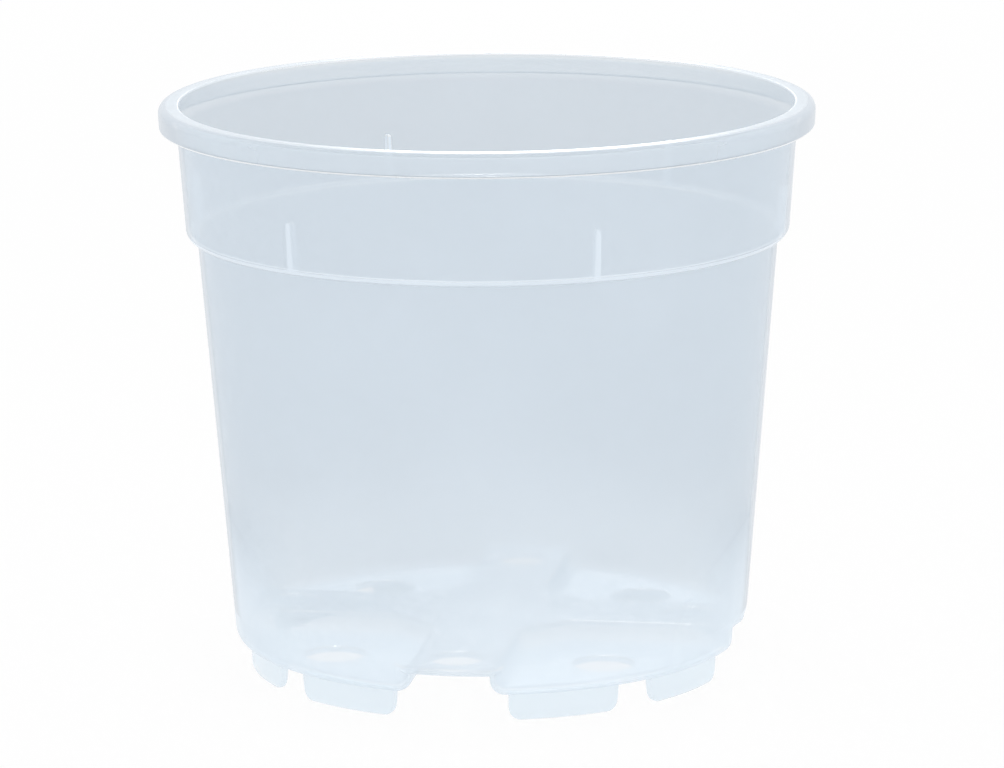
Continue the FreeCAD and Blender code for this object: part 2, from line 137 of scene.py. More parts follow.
class OrchidPotSizes(bpy.types.PropertyGroup):
    """Sizes of the moulding. Levels and outer radii come from the CAD parts in model.glb."""

    # Rim, collar and shoulder
    height: length("Height", "Feet to lip", high("rim_lip").z)
    rim_radius: length("Rim radius", "Outside of the rim", high("rim_lip").x)
    rim_wall: length("Rim wall", "Thickness of the lip and skirt", 1.0 * MM)
    rim_round: length("Rim rounding", "Bend from the lip into the skirt", 1.5 * MM)
    rim_edge_round: length("Rim edge rounding", "Small edges of the rim", 0.3 * MM)
    skirt_level: length("Skirt level", "Lower edge of the skirt", low("rim_skirt").z)
    skirt_draft: length("Skirt draft", "What the skirt's radius loses on its way down", 0.2 * MM)
    collar_radius: length("Collar radius", "Outside of the collar below the rim", high("collar_wall").x)
    collar_radius_level: length("Collar radius level", "Where that radius is", high("collar_wall").z)
    collar_low_radius: length("Lower collar radius", "Outside above the shoulder", high("shoulder_ledge").x)
    collar_low_level: length("Lower collar level", "Where that radius is", high("shoulder_ledge").z)
    shoulder_level: length("Shoulder level", "Underside of the shoulder", low("shoulder_ledge").z)
    shoulder_round: length("Shoulder rounding", "Outer edge of the shoulder", 1.5 * MM)
    # Where the shoulder's painted highlight lies on its rounding
    glint_from: share("Glint from", "How far down the shoulder's bright line starts to face", 0.22)
    glint_to: share("Glint to", "How far down the shoulder's bright line still faces", 0.68)
    ledge_thickness: length("Ledge thickness", "Thickness of the step inside", 1.0 * MM)
    ledge_edge_round: length("Ledge edge rounding", "Inner edge of the ledge", 0.4 * MM)
    # Side wall
    wall: length("Wall", "Thickness of the collar and side wall", 0.7 * MM)
    wall_top_radius: length("Upper wall radius", "Outside below the shoulder", high("side_wall").x)
    wall_foot_radius: length("Lower wall radius", "Outside where the base begins", high("drain_cross").x)
    wall_foot_level: length("Base seam level", "Where the base begins", low("side_wall").z)
    wall_rows: count("Wall rows", "Rows of faces up the wall", 10)
    # Base
    roof_level: length("Channel roof", "Underside of the raised arms", low("drain_cross").z)
    pod_level: length("Pod underside", "Underside of the sunken pods", low("base_pod_1").z)
    floor: length("Floor", "Thickness of the floor", 1.2 * MM)
    channel_half_width: length("Channel half width", "Axis to a channel's side, at its roof", 7.0 * MM)
    pod_wall: length("Pod wall", "Thickness between a pod and a channel", 0.9 * MM)
    pod_chamfer: length("Pod chamfer", "Cut off a pod's inner corner, along each side", 8.9 * MM)
    pod_corner_extra: length("Pod corner extra", "Added to a pod's upright roundings", 0.5 * MM)
    base_round: length("Base rounding", "Lower outer edges of the base", 2.5 * MM)
    floor_edge_round: length("Floor edge rounding", "Edges of the channels and pits", 0.3 * MM)
    arm_hole_radius: length("Arm hole radius", "Drain hole in an arm", 4.75 * MM)
    arm_hole_inset: length("Arm hole inset", "Pod's outer wall to the hole's centre", 9.7 * MM)
    pod_hole_radius: length("Pod hole radius", "Drain hole in a pod", 5.5 * MM)
    pod_hole_inset: length("Pod hole inset", "Pod's outer wall to the hole's centre", 12.2 * MM)
    gate_radius: length("Gate radius", "Mark in the middle of the underside", 2.0 * MM)
    gate_depth: length("Gate depth", "Depth of that mark", 0.4 * MM)
    pod_steps: count("Pod steps", "Faces round a pod's outer wall", 44, minimum=4)
    arm_steps: count("Arm steps", "Faces round an arm's end", 10, minimum=2)
    round_steps: count("Rounding steps", "Faces across a rounding", 6)
    edge_steps: count("Edge steps", "Faces across a small edge", 3)
    hole_steps: count("Hole steps", "Faces round a hole", 48, minimum=8)
    # Feet
    foot_thickness: length("Foot thickness", "At the pod", 1.7 * MM)
    foot_draft: length("Foot draft", "What each side of a foot loses towards its tip", 0.15 * MM)
    foot_span: angle("Foot span", "Angle that a foot takes round the axis", 26.7)
    foot_offset: angle("Foot offset", "From the pod's middle to the foot's middle", 18.15)
    foot_end_round: length("Foot end rounding", "Lower corners of a foot", 2.2 * MM)
    foot_edge_round: length("Foot edge rounding", "Other lower edges of a foot", 0.34 * MM)
    foot_steps: count("Foot steps", "Faces along a foot", 20)
    overlap: length("Overlap", "How deep feet and ribs run into what carries them", 0.1 * MM)
    # Ribs
    rib_setback: length("Rib setback", "Ledge's inner edge to a rib", 0.2 * MM)
    rib_lean: length("Rib lean", "Extra lean of a rib's free edge", 0.2 * MM)
    rib_draft: angle("Rib draft", "Lean of a rib's sides", 1.2)
    rib_round: length("Rib rounding", "Free edges of a rib", 0.2 * MM)


class OrchidPotFinish(bpy.types.PropertyGroup):
    """Colours of the clear plastic, painted shade and painted highlights among them, and how much one face of
    it hides.
    """

    outside_colour: colour("Outside", "Side wall and collar, outside", (0.765, 0.848, 0.932))
    # Painted shade: the inside faces are darker than the outside, and behind the skirt a little less dark, to
    # even out the skirt's own shade
    inside_shade_colour: colour("Inside", "Side wall and collar, inside", (0.450, 0.529, 0.606))
    band_shade_colour: colour("Inside the rim", "Inside of the collar behind the skirt", (0.560, 0.630, 0.695))
    base_colour: colour("Base", "Pods and the foot of the wall", (0.766, 0.854, 0.935))
    foot_colour: colour("Feet", "Feet under the pods", (0.760, 0.870, 0.965))
    # Painted shade: a darker copy of the base's colour, evening out the light that falls on the cross's flat
    # top
    cross_shade_colour: colour("Cross", "Flat top and underside of the raised channels", (0.612, 0.684, 0.752))
    rim_colour: colour("Rim", "Lip and skirt", (0.700, 0.778, 0.852))
    # Painted highlight: roundings are painted near white where they would catch the light
    painted_highlight_colour: colour("Bright edges", "Roundings that catch the light", (0.960, 0.990, 1.000))
    # Painted highlight round the shoulder; the ribs take the same colour as the lighter tone of their thicker
    # plastic
    painted_glint_and_rib_colour: colour("Shoulder line", "Line round the shoulder, and the ribs", (0.800, 0.880, 0.970))
    shade_colour: colour("Shaded edge", "Inner edge of the skirt's foot", (0.430, 0.480, 0.530))
    outline_colour: colour("Outline", "Wall, collar and skirt seen edge-on", (0.620, 0.680, 0.745))
    wall_cover: share("Wall cover", "Side wall and collar", 0.50)
    base_cover: share("Base cover", "Pods and channels", 0.34)
    foot_cover: share("Foot cover", "Feet under the pods", 0.50)
    rim_cover: share("Rim cover", "Lip and skirt", 0.20)
    rim_inside_cover: share("Rim inside cover", "Inner face of the skirt and underside of the lip", 0.06)
    edge_cover: share("Edge cover", "Bright and shaded edges, the shoulder's line and the ribs", 0.85)
    slant_cover: share("Slant cover", "Cover of a face of the rim or base that is seen edge-on", 1.00)
    outline_from: share("Outline from", "Slant at which wall and collar start to take their outline", 0.78)
    outline_to: share("Outline to", "Slant from which wall and collar have it in full", 0.88)
    rim_outline_from: share("Rim outline from", "Slant at which the skirt starts to take its outline", 0.45)
    rim_outline_to: share("Rim outline to", "Slant from which the skirt has it in full", 0.70)
    light_share: share("Light held back", "Share of its cover that a face keeps from passing light", 0.1)
    low_wall_from: length("Foot of the wall", "Level up to which the wall looks like the base", 11 * MM)
    low_tone_to: length("End of the base's colour", "Level at which the wall's colour is full", 30 * MM)
    low_cover_to: length("End of the base's cover", "Level at which the wall's cover is full", 50 * MM)
    band_blur: length("Band blur", "Half the height over which the colour changes behind the skirt", 1 * MM)
    clouding: share("Clouding", "How much the plastic's faint clouds change its colour", 0.05)
    gloss_roughness: share("Roughness", "Mean roughness of the moulded surface", 0.22)
    roughness_spread: share("Roughness spread", "How far the roughness strays from its mean", 0.3)
    ripple_strength: share("Ripple strength", "Strength of the surface's faint ripples", 0.10)
    ripple_height: length("Ripple height", "Height of those ripples", 0.3 * MM)
    gloss: share("Gloss", "Strength of the mirrored light on edges, ribs and feet", 0.30)
    lip_gloss: share("Lip gloss", "Strength of the mirrored light on the flat lip", 0.45)
    wall_gloss: share("Wall gloss", "Strength of the mirrored light on wall, collar, skirt and base", 0.08)
    edge_mirror: share("Edge mirror", "Share of light that a bright edge throws back from within", 0.85)
    edge_roughness: share("Edge roughness", "Mean roughness of the bright edges", 0.30)
    refraction: number("IOR", "Index of polypropylene", 1.49, minimum=1.0)


class OrchidPotStage(bpy.types.PropertyGroup):
    """Camera, floor and even light."""

    camera_distance: length("Camera distance", "Camera to the point it looks at", 0.999)
    camera_azimuth: angle("Camera azimuth", "From the front towards +X", 9.4)
    camera_elevation: angle("Camera elevation", "Above the horizon", 12.13)
    camera_roll: angle("Camera roll", "Tilt of the frame", -0.443)
    camera_lens: number("Lens", "Focal length in millimetres", 194.14)
    camera_sensor: number("Sensor", "Width of the sensor in millimetres", 36.0)
    camera_near: length("Near limit", "Nearest that the camera sees", 0.05)
    aim_side: length("Aim to the side", "From the axis to the point looked at", 2.39 * MM)
    aim_level: length("Aim level", "Height of the point looked at", 51.89 * MM)
    floor_radius: length("Floor radius", "From the axis to the floor's edge", 12.0)
    floor_steps: count("Floor steps", "Sides of the floor", 64, minimum=3)
    floor_white: share("Plain white", "Share of plain white in the floor as seen, over its shadow", 0.8)
    paper_white: share("Paper", "How light the floor is where it shows the shadow", 0.9)
    sky: number("Sky", "Strength of the even light", 0.98)


def sizes():
    return bpy.context.scene.orchid_pot_sizes


def finish():
    return bpy.context.scene.orchid_pot_finish


def stage():
    return bpy.context.scene.orchid_pot_stage


def radius_of(vert):
    return math.hypot(vert.co.x, vert.co.y)


def wall_slope(s):
    """What the side wall's radius gains per unit of height."""
    return (s.wall_top_radius - s.wall_foot_radius) / (s.shoulder_level - s.wall_foot_level)


def collar_slope(s):
    return (s.collar_radius - s.collar_low_radius) / (s.collar_radius_level - s.collar_low_level)


def wall_radius(s, level):
    """Outside of the side wall at a level."""
    return s.wall_foot_radius + wall_slope(s) * (level - s.wall_foot_level)


def collar_radius(s, level):
    """Outside of the collar at a level."""
    return s.collar_radius + collar_slope(s) * (level - s.collar_radius_level)


class Sheet:
    """One side of the base, outer or inner: the levels, outline and roundings that its faces follow."""

    def __init__(self, s, inner):
        self.cross_level = s.roof_level + (s.floor if inner else 0.0)
        self.pod_level = s.pod_level + (s.floor if inner else 0.0)
        self.rounding = s.base_round - (s.wall if inner else 0.0)
        self.corner_round = self.rounding + s.pod_corner_extra
        self.ring_level = self.cross_level + self.rounding
        self.ring_radius = wall_radius(s, self.ring_level) - (s.wall if inner else 0.0)
        self.slope = wall_slope(s)
        self.side = s.channel_half_width - (self.ring_level - s.roof_level) * self.slope
        self.side += s.pod_wall if inner else 0.0
        self.chamfer = s.pod_chamfer - ((2 - math.sqrt(2)) * s.pod_wall if inner else 0.0)
        # The pod's upright rounding beside +X touches the channel's side and the wall
        self.corner_y = self.side + self.corner_round
        self.corner_x = math.sqrt((self.ring_radius - self.corner_round) ** 2 - self.corner_y ** 2)

    def cross_height(self, radius):
        """Height of the cross at a radius: flat, then round up to the wall."""
        into_round = radius - (self.ring_radius - self.rounding)
        reach = min(max(into_round / self.rounding, 0.0), 1.0)
        return self.cross_level + self.rounding * (1 - math.sqrt(1 - reach * reach))


def verts_of(items):
    """The verts among some mesh parts and at the ends of their edges, each once."""
    found = [item for item in items if isinstance(item, bmesh.types.BMVert)]
    found += [vert for edge in edges_of(items) for vert in edge.verts]
    return list(dict.fromkeys(found))


def edges_of(items):
    return [item for item in items if isinstance(item, bmesh.types.BMEdge)]


def open_edges(bm):
    return [edge for edge in bm.edges if edge.is_boundary]


def at_level(edge, level):
    return all(abs(vert.co.z - level) < MATCH for vert in edge.verts)


def bevel_edges(bm, edges, rounding, steps):
    """Round some edges and give back the new faces."""
    return bmesh.ops.bevel(bm, geom=edges, affect="EDGES", offset=rounding, offset_type="OFFSET",
                           segments=steps, profile=ARC_PROFILE, material=-1)["faces"]


def paint(faces, zone):
    for face in faces:
        face.material_index = zone


def draw_pod(bm, s, sheet):
    """One pod's outline as a flat face: round by the wall, down two sides and across its inner corner."""
    first = bm.verts.new((sheet.corner_x, sheet.side, sheet.ring_level))
    turn = math.atan2(sheet.corner_y, sheet.corner_x)
    corner_sweep = math.pi / 2 + turn
    arcs = (
        ((sheet.corner_x, sheet.corner_y, 0), corner_sweep, s.round_steps),
        ((0, 0, 0), math.pi / 2 - 2 * turn, s.pod_steps),
        ((sheet.corner_y, sheet.corner_x, 0), corner_sweep, s.round_steps),
    )
    last = first
    for centre, sweep, steps in arcs:
        arc = bmesh.ops.spin(bm, geom=[last], cent=centre, axis=(0, 0, 1), angle=sweep, steps=steps)
        last = verts_of(arc["geom_last"])[0]
    far = sheet.side + sheet.chamfer
    cut = [bm.verts.new((x, y, sheet.ring_level)) for x, y in ((sheet.side, far), (far, sheet.side))]
    for pair in ((last, cut[0]), cut, (cut[1], first)):
        bm.edges.new(pair)
    bmesh.ops.contextual_create(bm, geom=bm.edges[:])
    # Each end of the chamfer turns by an eighth of a circle
    bmesh.ops.bevel(bm, geom=cut, affect="VERTICES", offset=sheet.corner_round * math.tan(math.pi / 8),
                    offset_type="OFFSET", segments=s.round_steps, profile=ARC_PROFILE, material=-1)
    bm.faces.ensure_lookup_table()
    return bm.faces[0]


def inset(bm, face, thickness, level):
    """Shrink a face evenly inside itself and set it at a level."""
    bmesh.ops.inset_individual(bm, faces=[face], thickness=thickness, depth=0.0, use_even_offset=True)
    for vert in face.verts:
        vert.co.z = level


def lower_outline(sheet, pod):
    """Slide the top of a pod's leaning wall down to where it meets the cross."""
    floor_verts = set(pod.verts)
    for foot in pod.verts:
        linked = [edge.other_vert(foot) for edge in foot.link_edges]
        top = [vert for vert in linked if vert not in floor_verts][0]
        if radius_of(top) > sheet.ring_radius - MATCH:
            continue
        run = top.co - foot.co
        part = 1.0
        for _ in range(MEETING_TRIES):
            spot = foot.co + run * part
            part = (sheet.cross_height(math.hypot(spot.x, spot.y)) - foot.co.z) / run.z
        top.co = foot.co + run * part


def sink_pod(bm, s, sheet, pod):
    """Press a pod down from its outline: the leaning wall, then the lower rounding to its flat floor."""
    level = sheet.pod_level + sheet.rounding
    inset(bm, pod, (sheet.ring_level - level) * sheet.slope, level)
    lower_outline(sheet, pod)
    reach = 0.0
    for step in range(1, s.round_steps + 1):
        turn = math.pi / 2 * step / s.round_steps
        farther = sheet.rounding * (1 - math.cos(turn))
        inset(bm, pod, farther - reach, level - sheet.rounding * math.sin(turn))
        reach = farther


def fill_floor(bm, s, border, level, holes):
    """Fill a flat floor, leaving round holes, and give back each hole's edges."""
    rims = []
    for x, y, radius in holes:
        made = bmesh.ops.create_circle(bm, cap_ends=False, segments=s.hole_steps, radius=radius,
                                       matrix=Matrix.Translation((x, y, level)))
        rims.append(list(dict.fromkeys(edge for vert in made["verts"] for edge in vert.link_edges)))
    edges = border + [edge for rim in rims for edge in rim]
    bmesh.ops.triangle_fill(bm, use_beauty=True, use_dissolve=False, edges=edges, normal=(0, 0, 1))
    return rims


def pod_hole(s):
    """Centre and radius of the first pod's drain hole."""
    middle = (wall_radius(s, s.pod_level) - s.pod_hole_inset) / math.sqrt(2)
    return middle, middle, s.pod_hole_radius


def arm_hole(s, k):
    """Centre and radius of one arm's drain hole."""
    reach = wall_radius(s, s.pod_level) - s.arm_hole_inset
    turn = k * FULL_TURN / POD_COUNT
    return reach * math.cos(turn), reach * math.sin(turn), s.arm_hole_radius


def close_arm_end(bm, s, sheet):
    """Carry the channel's roof out over +X and up to the wall, from the pod's corner to its mirror image."""
    corner = [edge for edge in open_edges(bm)
              if all(vert.co.x > sheet.corner_x - MATCH and vert.co.y < vert.co.x for vert in edge.verts)
              and not at_level(edge, sheet.ring_level)]
    mirrored = bmesh.ops.mirror(bm, geom=corner + verts_of(corner), axis="Y", merge_dist=0)["geom"]
    sides = corner + edges_of(mirrored)
    reach = bm.verts.layers.float.new("reach")
    for vert in verts_of(sides):
        vert[reach] = radius_of(vert)
    rungs = bmesh.ops.bridge_loops(bm, edges=sides)["edges"]
    cut = bmesh.ops.subdivide_edges(bm, edges=rungs, cuts=s.arm_steps - 1, use_grid_fill=True)
    for vert in verts_of(cut["geom_inner"]):
        out = vert[reach] / radius_of(vert)
        vert.co.x *= out
        vert.co.y *= out
    bm.verts.layers.float.remove(reach)


def copy_into(bm, source, turn=0.0):
    """Add a copy of another mesh, turned about the axis."""
    scratch = bpy.data.meshes.new("scratch")
    source.to_mesh(scratch)
    scratch.transform(Matrix.Rotation(turn, 4, "Z"))
    bm.from_mesh(scratch)
    bpy.data.meshes.remove(scratch)


def build_base(s, sheet, gate):
    """One side of the base: four pods and arm ends, and the flat cross between them with its holes."""
    quarter = bmesh.new()
    pod = draw_pod(quarter, s, sheet)
    sink_pod(quarter, s, sheet, pod)
    border = list(pod.edges)
    bmesh.ops.delete(quarter, geom=[pod], context="FACES_ONLY")
    fill_floor(quarter, s, border, sheet.pod_level, [pod_hole(s)])
    close_arm_end(quarter, s, sheet)
    bm = bmesh.new()
    for k in range(POD_COUNT):
        copy_into(bm, quarter, k * FULL_TURN / POD_COUNT)
    quarter.free()
    bmesh.ops.remove_doubles(bm, verts=bm.verts, dist=MATCH)
    border = [edge for edge in open_edges(bm) if at_level(edge, sheet.cross_level)]
    holes = [arm_hole(s, k) for k in range(POD_COUNT)]
    if gate:
        holes.append((0.0, 0.0, s.gate_radius))
    rims = fill_floor(bm, s, border, sheet.cross_level, holes)
    if gate:
        sink_gate(bm, s, rims[-1])
    return bm


def sink_gate(bm, s, rim):
    """The shallow round mark in the middle of the underside."""
    made = bmesh.ops.extrude_edge_only(bm, edges=rim)["geom"]
    raised = verts_of(made)
    bmesh.ops.translate(bm, verts=raised, vec=(0, 0, s.gate_depth))
    bmesh.ops.contextual_create(bm, geom=[edge for edge in edges_of(made) if edge.is_boundary])


def ring_at(bm, radius, level):
    """The edges of the ring at a radius and level."""
    return [edge for edge in bm.edges if at_level(edge, level)
            and all(abs(radius_of(vert) - radius) < MATCH for vert in edge.verts)]


def climb(bm, ring, radius, level):
    """Extrude a ring of edges to a new radius and level."""
    made = bmesh.ops.extrude_edge_only(bm, edges=ring)["geom"]
    for vert in verts_of(made):
        out = radius / radius_of(vert)
        vert.co = (vert.co.x * out, vert.co.y * out, level)
    return [edge for edge in edges_of(made) if edge.is_boundary]


def climb_wall(bm, s, ring, sheet, top_radius, top_level):
    """Extrude the base's ring up the side wall in even rows."""
    for row in range(1, s.wall_rows + 1):
        reach = row / s.wall_rows
        ring = climb(bm, ring, sheet.ring_radius + (top_radius - sheet.ring_radius) * reach,
                     sheet.ring_level + (top_level - sheet.ring_level) * reach)
    return ring


def outside_corners(s):
    """Radius, level, rounding and zone of the outside's corners above the side wall, from below."""
    lip_under = s.height - s.rim_wall
    skirt_foot = s.rim_radius - s.skirt_draft
    return [
        (s.wall_top_radius, s.shoulder_level, s.rim_edge_round, OUTSIDE),
        (collar_radius(s, s.shoulder_level), s.shoulder_level, s.shoulder_round, OUTSIDE),
        (collar_radius(s, lip_under), lip_under, s.rim_edge_round, OUTSIDE),
        (s.rim_radius - s.rim_wall, lip_under, s.rim_edge_round, RIM_INSIDE),
        (skirt_foot - s.rim_wall, s.skirt_level, s.rim_edge_round, SHADED),
        # The outer edge of the skirt's foot is painted as a highlight
        (skirt_foot, s.skirt_level, s.rim_edge_round, PAINTED_HIGHLIGHT),
        (s.rim_radius, s.height, s.rim_round, RIM),
    ]


def inside_corners(s):
    """The same for the inside."""
    ledge = s.shoulder_level + s.ledge_thickness
    return [
        # Both edges of the ledge are painted as highlights
        (wall_radius(s, ledge) - s.wall, ledge, s.ledge_edge_round, PAINTED_HIGHLIGHT),
        (collar_radius(s, ledge) - s.wall, ledge, s.rim_edge_round, PAINTED_HIGHLIGHT),
        (collar_radius(s, s.height) - s.wall, s.height, s.rim_edge_round, LIP),
    ]


def build_side(s, inner):
    """One side of the moulding, from the middle of the base up to the lip."""
    sheet = Sheet(s, inner)
    corners = inside_corners(s) if inner else outside_corners(s)
    bm = build_base(s, sheet, gate=not inner)
    ring = ring_at(bm, sheet.ring_radius, sheet.ring_level)
    ring = climb_wall(bm, s, ring, sheet, *corners[0][:2])
    for radius, level, _, _ in corners[1:]:
        ring = climb(bm, ring, radius, level)
    return bm


def join_holes(bm, s):
    """Join each drain hole's lower and upper rims by its bore."""
    turns = [k * FULL_TURN / POD_COUNT for k in range(POD_COUNT)]
    first_pod = Vector((*pod_hole(s)[:2], 0.0))
    holes = [arm_hole(s, k) for k in range(POD_COUNT)]
    holes += [(*(Matrix.Rotation(turn, 3, "Z") @ first_pod).xy, s.pod_hole_radius) for turn in turns]
    free = open_edges(bm)
    for x, y, radius in holes:
        rims = [edge for edge in free if all(
            abs(math.hypot(vert.co.x - x, vert.co.y - y) - radius) < MATCH for vert in edge.verts)]
        paint(bmesh.ops.bridge_loops(bm, edges=rims)["faces"], BASE)


def paint_side(bm, s, inner):
    """Give one side of the moulding its zones: the base, the wall and collar, and the rim round them."""
    sheet = Sheet(s, inner)
    base_top = sheet.ring_level + MATCH
    rim_inner = collar_radius(s, s.height) + MATCH
    for face in bm.faces:
        middle = face.calc_center_median()
        outward = math.hypot(middle.x, middle.y)
        # The flat faces of the cross take its painted shade
        if all(at_level(edge, sheet.cross_level) for edge in face.edges):
            face.material_index = CROSS
        elif max(vert.co.z for vert in face.verts) < base_top:
            face.material_index = BASE
        elif outward > rim_inner and middle.z > s.skirt_level - MATCH:
            face.material_index = RIM if outward > s.rim_radius - s.rim_wall / 2 else RIM_INSIDE
        # Painted light: the flat underside of the shoulder takes the rim's thinner cover, so that its shade
        # shows less
        elif all(at_level(edge, s.shoulder_level) for edge in face.edges):
            face.material_index = RIM
        else:
            face.material_index = INSIDE if inner else OUTSIDE


def build_moulding(s):
    """The whole moulding but for its ribs and feet, as one closed shell."""
    bm = bmesh.new()
    for inner in (False, True):
        side = build_side(s, inner)
        paint_side(side, s, inner)
        copy_into(bm, side)
        side.free()
    lip = bmesh.ops.bridge_loops(bm, edges=[edge for edge in open_edges(bm) if at_level(edge, s.height)])
    paint(lip["faces"], LIP)
    join_holes(bm, s)
    bmesh.ops.recalc_face_normals(bm, faces=bm.faces)
    for radius, level, rounding, zone in outside_corners(s) + inside_corners(s):
        rounded = bevel_edges(bm, ring_at(bm, radius, level), rounding, s.round_steps)
        paint(rounded, zone)
        if rounding == s.shoulder_round and level == s.shoulder_level:
            # Part of the shoulder's rounding is painted as a bright line: a painted highlight
            paint([face for face in rounded if s.glint_from < -face.normal.z < s.glint_to], PAINTED_GLINT_AND_RIBS)
    rounded = bevel_edges(bm, floor_edges(bm, s), s.floor_edge_round, s.edge_steps)
    paint(rounded, BASE)
    # The upward-facing parts of these roundings are painted as highlights
    paint([face for face in rounded if face.normal.z > 0], PAINTED_HIGHLIGHT)
    return bm


def floor_edges(bm, s):
    """The edges of the channels, pits and drain holes."""
    top = s.roof_level + s.floor + s.base_round
    return [edge for edge in bm.edges
            if max(vert.co.z for vert in edge.verts) < top and len(edge.link_faces) == 2
            and not in_gate(edge, s) and edge.calc_face_angle(0.0) > FLOOR_FOLD]


def in_gate(edge, s):
    return all(radius_of(vert) < s.gate_radius + MATCH for vert in edge.verts)


def mark_sharp(bm, limit):
    """Keep a crease where faces meet at more than a limit."""
    for face in bm.faces:
        face.smooth = True
    for edge in bm.edges:
        if len(edge.link_faces) == 2:
            edge.smooth = edge.calc_face_angle(0.0) < limit


def new_piece(name, bm, replaced, materials):
    """A finished piece from a bmesh: creased, riding on the pot's body, and standing for CAD nodes."""
    mark_sharp(bm, CREASE)
    mesh = bpy.data.meshes.new(name)
    bm.to_mesh(mesh)
    bm.free()
    for material in materials:
        mesh.materials.append(material)
    piece = bpy.data.objects.new(name, mesh)
    bpy.context.scene.collection.objects.link(piece)
    weigh = piece.modifiers.new("even normals", "WEIGHTED_NORMAL")
    weigh.keep_sharp = True
    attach(piece, "root")
    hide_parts(*replaced)
    return piece


def build_foot(s):
    """One curved foot over +X: a drafted bar with rounded lower edges, bent round the axis."""
    outer = wall_radius(s, s.pod_level) - s.base_round
    inner = outer - s.foot_thickness
    middle = (outer + inner) / 2
    half_long = middle * s.foot_span / 2
    top = s.pod_level + s.overlap
    bm = bmesh.new()
    made = bmesh.ops.create_cube(bm, size=1.0)
    for vert in made["verts"]:
        low_end = vert.co.z < 0
        draft = s.foot_draft if low_end else 0.0
        half_thick = s.foot_thickness / 2 - draft
        vert.co = (math.copysign(half_thick, vert.co.x), math.copysign(half_long, vert.co.y),
                   0.0 if low_end else top)
    bottom = [edge for edge in bm.edges if at_level(edge, 0.0)]
    ends = [edge for edge in bottom if abs(edge.verts[0].co.y - edge.verts[1].co.y) < MATCH]
    bevel_edges(bm, ends, s.foot_end_round, s.round_steps)
    sharp = [edge for edge in bm.edges if is_low_side(edge, s)]
    bevel_edges(bm, sharp, s.foot_edge_round, s.edge_steps)
    for step in range(1, s.foot_steps):
        cut = half_long * (2 * step / s.foot_steps - 1)
        bmesh.ops.bisect_plane(bm, geom=bm.verts[:] + bm.edges[:] + bm.faces[:], plane_co=(0, cut, 0),
                               plane_no=(0, 1, 0), dist=CUT_MATCH)
    for vert in bm.verts:
        turn = vert.co.y / middle
        radius = middle + vert.co.x
        vert.co.x = radius * math.cos(turn)
        vert.co.y = radius * math.sin(turn)
    bmesh.ops.recalc_face_normals(bm, faces=bm.faces)
    return bm


def is_low_side(edge, s):
    """True for the long lower edges of a foot, with the stretches round its ends."""
    low_enough = min(vert.co.z for vert in edge.verts) < s.foot_end_round - MATCH
    along = abs(edge.verts[0].co.x - edge.verts[1].co.x) < s.foot_draft
    return low_enough and along and edge.calc_face_angle(0.0) > FOOT_FOLD


def build_rib(s):
    """One drafted rib on the ledge, over +X, its back along the collar."""
    ledge = low("stacking_rib_1").z - s.overlap
    top = high("stacking_rib_1").z
    half = high("stacking_rib_1").y
    tall = top - ledge
    top_half = half - tall * math.tan(s.rib_draft)
    inner = wall_radius(s, ledge) - s.wall + s.rib_setback
    bm = bmesh.new()
    made = bmesh.ops.create_cube(bm, size=1.0)
    for vert in made["verts"]:
        up = vert.co.z > 0
        back = vert.co.x > 0
        level = top if up else ledge
        free = inner + (collar_slope(s) * tall + s.rib_lean if up else 0.0)
        vert.co = (collar_radius(s, level) - s.wall + s.overlap if back else free,
                   math.copysign(top_half if up else half, vert.co.y), level)
    chosen = []
    for edge in bm.edges:
        middle = (edge.verts[0].co + edge.verts[1].co) / 2
        if middle.z > ledge + MATCH and middle.x < collar_radius(s, middle.z) - s.wall:
            chosen.append(edge)
    # The rib's free edges are painted as highlights
    paint(bevel_edges(bm, chosen, s.rib_round, s.edge_steps), RIB_ZONES.index(PAINTED_HIGHLIGHT))
    bmesh.ops.recalc_face_normals(bm, faces=bm.faces)
    return bm


def add_node(tree, kind, x, y, **settings):
    node = tree.nodes.new(kind)
    node.location = (x, y)
    for name, value in settings.items():
        setattr(node, name, value)
    return node


def empty_material(name):
    material = bpy.data.materials.new(name)
    material.use_nodes = True
    material.node_tree.nodes.clear()
    return material, material.node_tree


def height_mask(tree, place, low_level, high_level, x, y):
    """Nothing below one level, one above another, and a smooth change between them."""
    split = add_node(tree, "ShaderNodeSeparateXYZ", x, y)
    mask = add_node(tree, "ShaderNodeMapRange", x + 200, y, interpolation_type="SMOOTHSTEP")
    mask.inputs["From Min"].default_value = low_level
    mask.inputs["From Max"].default_value = high_level
    tree.links.new(place.outputs["Object"], split.inputs["Vector"])
    tree.links.new(split.outputs["Z"], mask.inputs["Value"])
    return mask.outputs["Result"]


def noise_at(tree, place, scale, detail, x, y):
    """A smooth pattern fixed to the piece."""
    noise = add_node(tree, "ShaderNodeTexNoise", x, y)
    noise.inputs["Scale"].default_value = scale
    noise.inputs["Detail"].default_value = detail
    tree.links.new(place.outputs["Object"], noise.inputs["Vector"])
    return noise.outputs["Fac"]


def between(tree, value, low_end, high_end, x, y, span=(0.0, 1.0)):
    """A number that runs from one end to another as a value runs over a span."""
    scale = add_node(tree, "ShaderNodeMapRange", x, y)
    scale.inputs["From Min"].default_value, scale.inputs["From Max"].default_value = span
    scale.inputs["To Min"].default_value = low_end
    scale.inputs["To Max"].default_value = high_end
    tree.links.new(value, scale.inputs["Value"])
    return scale.outputs["Result"]


def combined(tree, operation, first, second, x, y):
    """One number worked out from two, each a plain number or another node's output."""
    node = add_node(tree, "ShaderNodeMath", x, y, operation=operation)
    for socket, value in zip(node.inputs, (first, second)):
        if isinstance(value, bpy.types.NodeSocket):
            tree.links.new(value, socket)
        else:
            socket.default_value = value
    return node.outputs[0]


